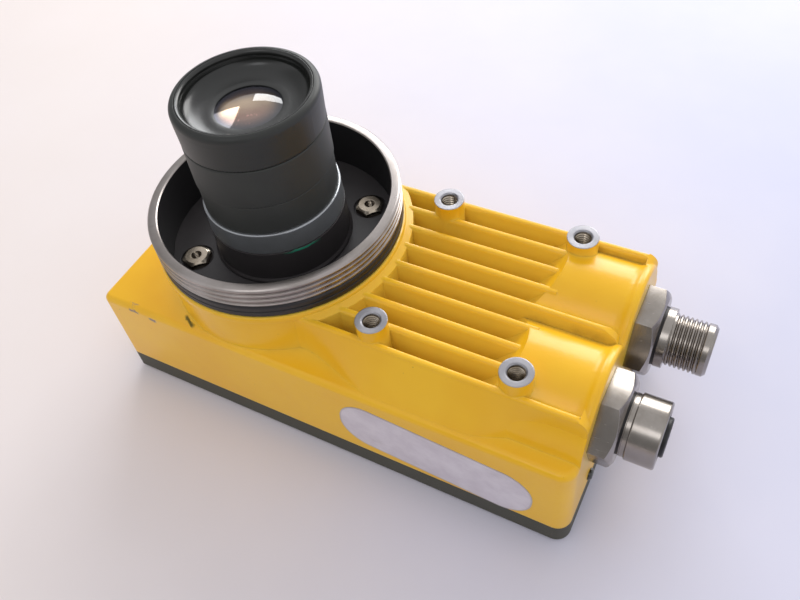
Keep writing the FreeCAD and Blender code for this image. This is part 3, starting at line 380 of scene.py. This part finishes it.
def lens_black(name, level, rough, shine, ribs=0):
    """Black anodised metal with faint dust. Level is its 8-bit grey, and ribs the count of fine flutes."""
    g = Graph(name, srgb(level, level, level), 0.36, Specular_IOR_Level=shine)
    cloud = g.noise(6 * MM, 4, 0.6)
    base = g.mix(cloud, srgb(level - 4, level - 3, level - 4), srgb(level + 6, level + 8, level + 5))
    dust = g.step(g.noise(0.45 * MM, 5, 0.75, seed=3), 0.64, 0.8)
    g.set("Base Color", g.mix(g.times(dust, 0.16), base, srgb(150, 150, 150)))
    g.set("Roughness", g.blend(cloud, *rough))
    height = g.noise(0.16 * MM, 2, 0.5, stretch=(0.03, 0.03, 1))
    if ribs:
        height = g.plus(g.times(height, 0.3), g.times(g.math("SINE", g.times(g.around(), float(ribs))), 0.12))
    return g.finish(g.bump(height, 0.015 * MM, g.bevel(0.2 * MM)))


def front_glass_coat():
    """Front element: its polished dome is the clear coat, over the amber hollow of the glass behind it. Its
    base colour is a painted reflection: an amber glow, darker towards the far side and the rim, with pink
    glints.
    """
    g = Graph("front_glass", srgb(190, 160, 130), 0.06, 0.9,
              Coat_Weight=1.0, Coat_Roughness=0.0, Coat_IOR=1.75)
    # painted reflection: an amber glow across the glass, darker towards the far side, with pink glints on the
    # near side and a dark band at the rim
    slope = g.plus(g.times(g.x, -0.6), g.times(g.y, 0.8))
    swirl = g.wobble(3.5 * MM, 2, 0.5, 2, 3 * MM)
    painted_reflection = g.mix(g.step(g.plus(slope, swirl), -4.5 * MM, 0.5 * MM), srgb(138, 104, 88), srgb(186, 162, 134))
    far_side_shade = g.step(g.plus(slope, g.times(swirl, 0.5)), 0.2 * MM, 4.4 * MM)
    painted_reflection = g.mix(far_side_shade, painted_reflection, srgb(74, 64, 64))
    specks = g.times(g.step(g.noise(0.9 * MM, 2, 0.6, seed=4), 0.62, 0.7),
                     g.step(slope, -2.6 * MM, -4.4 * MM))
    painted_reflection = g.mix(g.times(specks, 0.8), painted_reflection, srgb(206, 150, 140))
    g.set("Base Color", g.mix(g.step(g.radius(), 4.0 * MM, 7.3 * MM), painted_reflection, srgb(52, 52, 60)))

    # the hollow's normals lean towards the axis, by this much for each metre away from it
    curve = -42.0
    hollow = g.node("ShaderNodeCombineXYZ")
    g.put(hollow.inputs[0], g.times(g.x, curve))
    g.put(hollow.inputs[1], g.times(g.y, curve))
    hollow.inputs[2].default_value = 1.0
    unit = g.node("ShaderNodeVectorMath", operation="NORMALIZE")
    g.put(unit.inputs[0], hollow.outputs[0])
    return g.finish(unit.outputs[0])


def clear_glass(name, tint):
    """Flat and inner glasses, seen through."""
    g = Graph(name, srgb(*tint), 0.02, Transmission_Weight=1.0, IOR=1.52)
    g.set("Roughness", g.blend(g.noise(4 * MM, 3, 0.5), 0.01, 0.05))
    return g.finish()


def plastic(name, low, high, rough=(0.35, 0.5), **plain):
    """Moulded plastic or board: two close tones, uneven gloss and a fine grain."""
    g = Graph(name, srgb(*low), rough[0], **plain)
    cloud = g.noise(4 * MM, 4, 0.6)
    g.set("Base Color", g.mix(cloud, srgb(*low), srgb(*high)))
    g.set("Roughness", g.blend(cloud, *rough))
    return g.finish(g.bump(g.noise(0.48 * MM, 3, 0.6), 0.01 * MM))


def label_paper():
    """Blank sticker: off-white, slightly grubby, darker where its edge has picked up grime."""
    g = Graph("label_paper", srgb(214, 206, 214), 0.5)
    tilt, corner = math.radians(LABEL_TILT), LABEL_CORNER * MM
    dx, dz = g.math("SUBTRACT", g.x, LABEL_X * MM), g.math("SUBTRACT", g.z, LABEL_Z * MM)
    u = g.plus(g.times(dx, math.cos(tilt)), g.times(dz, -math.sin(tilt)))
    v = g.plus(g.times(dx, math.sin(tilt)), g.times(dz, math.cos(tilt)))
    past_u = g.math("SUBTRACT", g.math("ABSOLUTE", u), LABEL_HALF_LENGTH * MM - corner)
    past_v = g.math("SUBTRACT", g.math("ABSOLUTE", v), LABEL_HALF_HEIGHT * MM - corner)
    from_core = g.length(g.math("MAXIMUM", past_u, 0.0), g.math("MAXIMUM", past_v, 0.0))
    rim = g.step(from_core, corner - 0.55 * MM, corner - 0.1 * MM)
    cloud = g.noise(9 * MM, 4, 0.65)
    paper = g.mix(g.step(cloud, 0.3, 0.7), srgb(205, 196, 205), srgb(222, 215, 222))
    smudge = g.step(g.noise(3.5 * MM, 4, 0.6, stretch=(0.4, 1, 1), seed=6), 0.6, 0.8)
    paper = g.mix(g.times(smudge, 0.22), paper, srgb(150, 140, 140))
    g.set("Base Color", g.mix(g.times(rim, 0.35), paper, srgb(120, 108, 90)))
    g.set("Roughness", g.blend(cloud, 0.4, 0.55))
    fibre = g.noise(0.35 * MM, 4, 0.6)
    return g.finish(g.bump(fibre, 0.012 * MM))


# ---------------------------------------------------------------- mesh helpers
MERGE = 1e-7                        # metres, below which two corners are one


def mesh_object(name, verts, faces, material, body, angle):
    """A new piece on a CAD body, smooth but for edges sharper than angle, in degrees."""
    mesh = bpy.data.meshes.new(name)
    mesh.from_pydata(verts, [], faces)
    b = bmesh.new()
    b.from_mesh(mesh)
    bmesh.ops.remove_doubles(b, verts=b.verts, dist=MERGE)
    bmesh.ops.dissolve_degenerate(b, dist=MERGE, edges=b.edges)
    bmesh.ops.recalc_face_normals(b, faces=b.faces)
    b.to_mesh(mesh)
    b.free()
    piece = bpy.data.objects.new(name, mesh)
    bpy.context.scene.collection.objects.link(piece)
    mesh.materials.append(material)
    mesh.shade_smooth()
    mesh.set_sharp_from_angle(angle=math.radians(angle))
    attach(piece, body)
    return piece


def upright(x=0.0, y=0.0):
    """Places (radius, angle, height) about an upright axis. Millimetres in, metres out."""
    return lambda r, a, h: Vector((x + r * math.cos(a), y + r * math.sin(a), h)) * MM


def lying(y, z):
    """Places (radius, angle, height) about an axis along X."""
    return lambda r, a, h: Vector((h, y + r * math.cos(a), z + r * math.sin(a))) * MM


def revolve(profile, place, segments, closed=False):
    """Skins a profile of (radius, height) points about an axis."""
    rows = profile + profile[:1] if closed else profile
    verts = [place(r, TURN * k / segments, h) for r, h in rows for k in range(segments)]
    faces = []
    for i in range(len(rows) - 1):
        for k in range(segments):
            n = (k + 1) % segments
            faces.append((i * segments + k, i * segments + n,
                          (i + 1) * segments + n, (i + 1) * segments + k))
    return verts, faces


def thread(place, low, high, radius, depth, pitch, segments, fade=0.5, crest=0.22):
    """A helical thread between two heights. Its crests are at radius, and a depth below zero cuts outwards.
    Crest is the crest's width in pitches. At both ends the thread fades into a plain circle of that radius,
    over fade pitches."""
    # one turn in pitches, with how deep each corner is: crest, flank, root, flank
    corners = [(0.0, 0.0), (crest, 0.0), (0.5 + crest / 4, 1.0), (0.5 + 3 * crest / 4, 1.0)]
    turns = int(math.ceil((high - low) / pitch)) + 2
    rows = [(n + phase, deep) for n in range(-2, turns) for phase, deep in corners]
    verts, faces = [], []
    for k in range(segments + 1):
        for position, deep in rows:
            h = low + (position + k / segments) * pitch
            inside = min(max(h, low), high)
            ends = min(inside - low, high - inside) / (fade * pitch)
            weight = min(max(ends, 0.0), 1.0) if low < h < high else 0.0
            verts.append(place(radius - depth * deep * weight, TURN * k / segments, inside))
    count = len(rows)
    for k in range(segments):
        for i in range(count - 1):
            here, after = k * count + i, (k + 1) * count + i
            faces.append((here, after, after + 1, here + 1))
    return verts, faces


def joined(*parts):
    verts, faces = [], []
    for v, f in parts:
        start = len(verts)
        verts += v
        faces += [tuple(i + start for i in face) for face in f]
    return verts, faces


def cad_copy(node, drop):
    """The CAD node's own surface without the faces whose middle passes the drop test (millimetres)."""
    mesh = nodes[node].data
    verts = [v.co.copy() for v in mesh.vertices]
    faces = [tuple(p.vertices) for p in mesh.polygons if not drop(p.center / MM, p.normal)]
    return verts, faces


def dress(material, *names):
    for name in names:
        mesh = nodes[name].data
        mesh.materials.clear()
        mesh.materials.append(material)
        mesh.polygons.foreach_set("material_index", [0] * len(mesh.polygons))


# ---------------------------------------------------------------- finishes of the CAD nodes
ring_metal = ring_aluminium()
shell_metal = nickel("connector_nickel", (160, 154, 148), (142, 135, 128), (0.2, 0.26), connector=True)
stud_metal = nickel("standoff_nickel", (196, 184, 168), (150, 136, 118))
retainer_black = lens_black("retainer_black", 22, (0.2, 0.27), 0.6)

dress(yellow_paint(), "main_housing")
dress(cover_black(), "back_cover")
dress(rubber_black(), "cover_gasket", "ring_seal", "power_seal", "network_seal")
dress(nickel("screw_steel", (120, 118, 116), (76, 74, 72)),
      "cover_screws", "board_screws", "sensor_screws", "sensor_spacers", "board_spacers")
dress(plate_black(), "lens_plate")
dress(shell_metal, "network_shell")
dress(stud_metal, "hex_standoffs")
dress(clear_glass("filter_glass", (206, 224, 214)), "filter_glass")
dress(lens_silver(), "lens_base")
dress(lens_black("barrel_black", 52, (0.48, 0.58), 0.35), "lens_barrel")
dress(lens_black("iris_black", 54, (0.44, 0.54), 0.38), "iris_ring", "lens_cell", "iris_diaphragm")
dress(lens_black("focus_black", 43, (0.38, 0.48), 0.38, ribs=180), "focus_ring")
dress(front_glass_coat(), "front_glass")
dress(clear_glass("inner_glass", (226, 210, 190)), "middle_glasses", "rear_glass")
dress(plastic("insert_black", (24, 24, 26), (36, 35, 37)), "power_insert", "network_insert")
dress(nickel("contact_gold", (214, 178, 104), (176, 136, 70)), "power_pins", "network_contacts")
dress(plastic("board_green", (20, 70, 42), (30, 88, 54), (0.3, 0.45)),
      "power_board", "network_board", "processor_board", "io_board", "sensor_board")
dress(plastic("chip_black", (26, 26, 28), (40, 40, 42), (0.45, 0.6)),
      "processor_chips", "board_headers", "connector_headers")
dress(plastic("sensor_dark", (22, 26, 34), (34, 40, 52), (0.08, 0.16)), "image_sensor")
dress(plastic("indicator_dark", (34, 36, 34), (52, 54, 50), (0.1, 0.2), Coat_Weight=0.6), "indicator_lenses")
dress(label_paper(), "paper_label")


# ---------------------------------------------------------------- cover ring with its thread
def threaded_ring():
    """The cover ring's outer thread is really cut; its rim and neck follow the CAD ring."""
    place = upright()
    low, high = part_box("cover_ring")
    top, bottom = high.z / MM, low.z / MM
    outer, neck, collar_top, thread_bottom, chamfer = 30.2, 28.7, 42.9, 46.9, 0.25
    rim = top - 0.45
    inside = [(outer, rim), (outer - 0.35, top - 0.1), (outer - 0.6, top), (WELL_RADIUS + chamfer, top),
              (WELL_RADIUS, top - chamfer), (WELL_RADIUS, bottom), (SPIGOT_RADIUS, bottom),
              (SPIGOT_RADIUS, collar_top), (neck, collar_top), (neck, thread_bottom),
              (outer - 0.3, thread_bottom), (outer, thread_bottom + chamfer)]
    body = revolve(inside, place, 192)
    cut = thread(place, thread_bottom + chamfer, rim, outer,
                 depth=0.72, pitch=1.5, segments=192, fade=0.35, crest=0.34)
    verts, faces = joined(body, cut)
    piece = mesh_object("threaded_cover_ring", verts, faces, ring_metal, "camera", 28)
    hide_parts("cover_ring")


# ---------------------------------------------------------------- connectors with their threads
def neck_lip(y, start, end):
    """A connector's neck reaches a little over its seal."""
    seal, neck = 6.8, 6.95
    return revolve([(seal, start), (neck, start + 0.1), (neck, end), (seal, end)],
                   lying(y, CONNECTOR_Z), 96, closed=True)


def threaded_power_shell():
    """The male connector's shell with its thread cut, and a plain band at the tip."""
    place = lying(CONNECTOR_Y, CONNECTOR_Z)
    neck_start, start, end, radius, band_length = 91.5, 93.0, 101.5, 6.0, 1.2

    def on_thread(centre, normal):
        away = math.hypot(centre.y - CONNECTOR_Y, centre.z - CONNECTOR_Z)
        return start - 0.01 < centre.x < end + 0.01 and away > radius - 0.12 and abs(normal.x) < 0.1

    shell = cad_copy("power_shell", on_thread)
    cut = thread(place, start, end - band_length, radius, depth=0.5, pitch=1.0, segments=96, crest=0.3)
    band = revolve([(radius, end - band_length), (radius, end)], place, 96)
    verts, faces = joined(shell, cut, band, neck_lip(CONNECTOR_Y, neck_start - 0.38, neck_start))
    piece = mesh_object("threaded_power_shell", verts, faces, shell_metal, "camera", 30)
    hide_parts("power_shell")


def socket_thread():
    """Thread inside the female connector's collar, and its neck's lip."""
    place = lying(-CONNECTOR_Y, CONNECTOR_Z)
    start, end, radius, neck_start = 92.0, 98.1, 5.46, 91.3
    turns = thread(place, start, end, radius, depth=0.35, pitch=1.0, segments=96, fade=0.4)
    verts, faces = joined(turns, neck_lip(-CONNECTOR_Y, neck_start - 0.3, neck_start))
    mesh_object("network_socket_thread", verts, faces, shell_metal, "camera", 30)


def tapped_holes():
    """Thread turns inside the mounting bosses and the standoffs."""
    parts = []
    for x in (BOSS_MIDDLE_X - BOSS_HALF_X, BOSS_MIDDLE_X + BOSS_HALF_X):
        for y in (-BOSS_Y, BOSS_Y):
            parts.append(thread(upright(x, y), low=38.4, high=BOSS_TOP - 0.4, radius=1.88,
                                depth=0.26, pitch=0.7, segments=40, fade=0.6))
    verts, faces = joined(*parts)
    tapped_metal = nickel("tapped_metal", (200, 190, 176), (130, 116, 96))
    mesh_object("boss_threads", verts, faces, tapped_metal, "camera", 30)
    parts = []
    for angle in map(math.radians, STANDOFF_ANGLES):
        place = upright(STANDOFF_CIRCLE * math.cos(angle), STANDOFF_CIRCLE * math.sin(angle))
        parts.append(thread(place, low=36.2, high=STANDOFF_TOP - 0.1, radius=1.24,
                            depth=0.2, pitch=0.5, segments=36))
    verts, faces = joined(*parts)
    mesh_object("standoff_threads", verts, faces, stud_metal, "camera", 30)


# ---------------------------------------------------------------- mouth of the lens
def lens_bowl():
    """The front retainer: a rolled rim close to the focus ring, a fine filter thread and one smooth bowl."""
    place = upright()
    foot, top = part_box("front_retainer")[0].z / MM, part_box("focus_ring")[1].z / MM - 0.03
    outer, mouth, roll, ease = 14.78, 13.9, 0.85, 0.06
    glass, lip, floor_edge, floor_rise = 7.5, 0.4, 8.0, 0.5
    thread_top, thread_bottom = top - roll - 0.05, top - roll - 0.9
    rim = [(glass, foot + lip), (glass, foot), (outer, foot), (outer, top - ease)]
    for k in range(9):
        turn = math.pi / 2 * k / 8
        inwards = (outer - ease - mouth) * math.sin(turn)
        rim.append((outer - ease - inwards, top - roll * (1 - math.cos(turn))))
    rim.append((mouth, thread_top))
    bowl = [(mouth, thread_bottom)]
    for k in range(1, 15):
        turn = math.pi / 2 * k / 14
        drop = (thread_bottom - foot - floor_rise) * math.sin(turn)
        bowl.append((floor_edge + (mouth - floor_edge) * math.cos(turn) ** 0.8, thread_bottom - drop))
    bowl.append((glass, foot + lip))
    turns = thread(place, thread_bottom, thread_top, mouth, depth=-0.08, pitch=0.28, segments=160, fade=0.4)
    verts, faces = joined(revolve(rim, place, 160), revolve(bowl, place, 160), turns)
    piece = mesh_object("lens_bowl", verts, faces, retainer_black, "lens_cell", 40)
    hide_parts("front_retainer")


threaded_ring()
threaded_power_shell()
socket_thread()
tapped_holes()
lens_bowl()


# ---------------------------------------------------------------- floor, light and camera
def floor():
    mesh = bpy.data.meshes.new("floor")
    half = 1.6
    corners = [(-half, -half, 0), (half, -half, 0), (half, half, 0), (-half, half, 0)]
    mesh.from_pydata(corners, [], [(0, 1, 2, 3)])
    piece = bpy.data.objects.new("floor", mesh)
    bpy.context.scene.collection.objects.link(piece)
    g = Graph("floor_pale", srgb(233, 228, 238), 0.6)
    cloud = g.noise(90 * MM, 4, 0.6)
    # painted light: the floor is warmer to the left of the view and darker and bluer to its right
    sideways = g.plus(g.times(g.x, 0.88), g.times(g.y, 0.46))
    tint = g.mix(g.step(sideways, -0.12, 0.16), srgb(234, 224, 221), srgb(204, 206, 230))
    g.set("Base Color", g.mix(g.times(g.step(cloud, 0.3, 0.7), 0.15), tint, srgb(246, 240, 244)))
    mesh.materials.append(g.finish())
    piece.location.z = -0.1 * MM


def area(name, place, target, size, power, color):
    light = bpy.data.lights.new(name, "AREA")
    light.shape = "RECTANGLE"
    light.size, light.size_y = size
    light.energy = power
    light.color = color
    made = bpy.data.objects.new(name, light)
    bpy.context.scene.collection.objects.link(made)
    made.location = place
    direction = Vector(target) - Vector(place)
    made.rotation_euler = direction.to_track_quat("-Z", "Y").to_euler()


def surroundings():
    """Soft, nearly even room light, darker where people and shelves stand, with one pale strip overhead."""
    world = bpy.data.worlds.new("room")
    bpy.context.scene.world = world
    world.use_nodes = True
    tree = world.node_tree
    background = tree.nodes["Background"]
    where = tree.nodes.new("ShaderNodeTexCoord")

    def lobe(direction, low, high, away, towards):
        """From the level away to the level towards, as a ray's cosine to direction goes from low to high."""
        dot = tree.nodes.new("ShaderNodeVectorMath")
        dot.operation = "DOT_PRODUCT"
        tree.links.new(where.outputs["Generated"], dot.inputs[0])
        dot.inputs[1].default_value = Vector(direction).normalized()
        ramp = tree.nodes.new("ShaderNodeMapRange")
        ramp.interpolation_type = "SMOOTHSTEP"
        tree.links.new(dot.outputs["Value"], ramp.inputs["Value"])
        for name, value in zip(("From Min", "From Max", "To Min", "To Max"), (low, high, away, towards)):
            ramp.inputs[name].default_value = value
        return ramp.outputs["Result"]

    strength = lobe((0.1, 0.9, 0.25), -0.6, 0.95, 0.84, 0.86)
    person = lobe((0.1, -0.97, 0.14), 0.72, 0.97, 1.0, 0.4)
    shelves = lobe((-0.9, 0.1, 0.4), 0.8, 0.95, 1.0, 0.55)
    overhead = lobe((-0.04, -0.59, 0.81), 0.975, 0.995, 1.0, 3.2)
    for shade in (person, shelves, overhead):
        times = tree.nodes.new("ShaderNodeMath")
        times.operation = "MULTIPLY"
        tree.links.new(strength, times.inputs[0])
        tree.links.new(shade, times.inputs[1])
        strength = times.outputs[0]
    tree.links.new(strength, background.inputs["Strength"])
    background.inputs["Color"].default_value = (0.98, 0.98, 1.0, 1.0)


def camera():
    made = bpy.data.objects.new("camera_view", bpy.data.cameras.new("camera_view"))
    bpy.context.scene.collection.objects.link(made)
    right = Vector((0.8811, 0.4611, -0.1046))
    up = Vector((-0.2914, 0.7038, 0.6479))
    back = right.cross(up).normalized()
    right = up.cross(back).normalized()
    up = back.cross(right)
    matrix = Matrix((right, up, back)).transposed().to_4x4()
    matrix.translation = Vector((102.358, -105.988, 182.710)) * MM
    made.matrix_world = matrix
    lens = made.data
    lens.sensor_width = 36.0
    lens.lens = 36.955
    lens.shift_x = 0.0116
    lens.shift_y = -0.0287
    lens.clip_start, lens.clip_end = 0.01, 20.0
    bpy.context.scene.camera = made


floor()
surroundings()
area("window", (0.08, 0.84, 0.37), (0.03, 0.1, 0.03), (0.45, 0.56), 4.2, (1.0, 0.99, 0.97))
area("left_window", (-0.37, 0.78, 0.43), (0.0, 0.0, 0.05), (0.38, 0.4), 2.6, (0.98, 0.99, 1.0))
camera()
bpy.context.scene.view_settings.view_transform = "Standard"
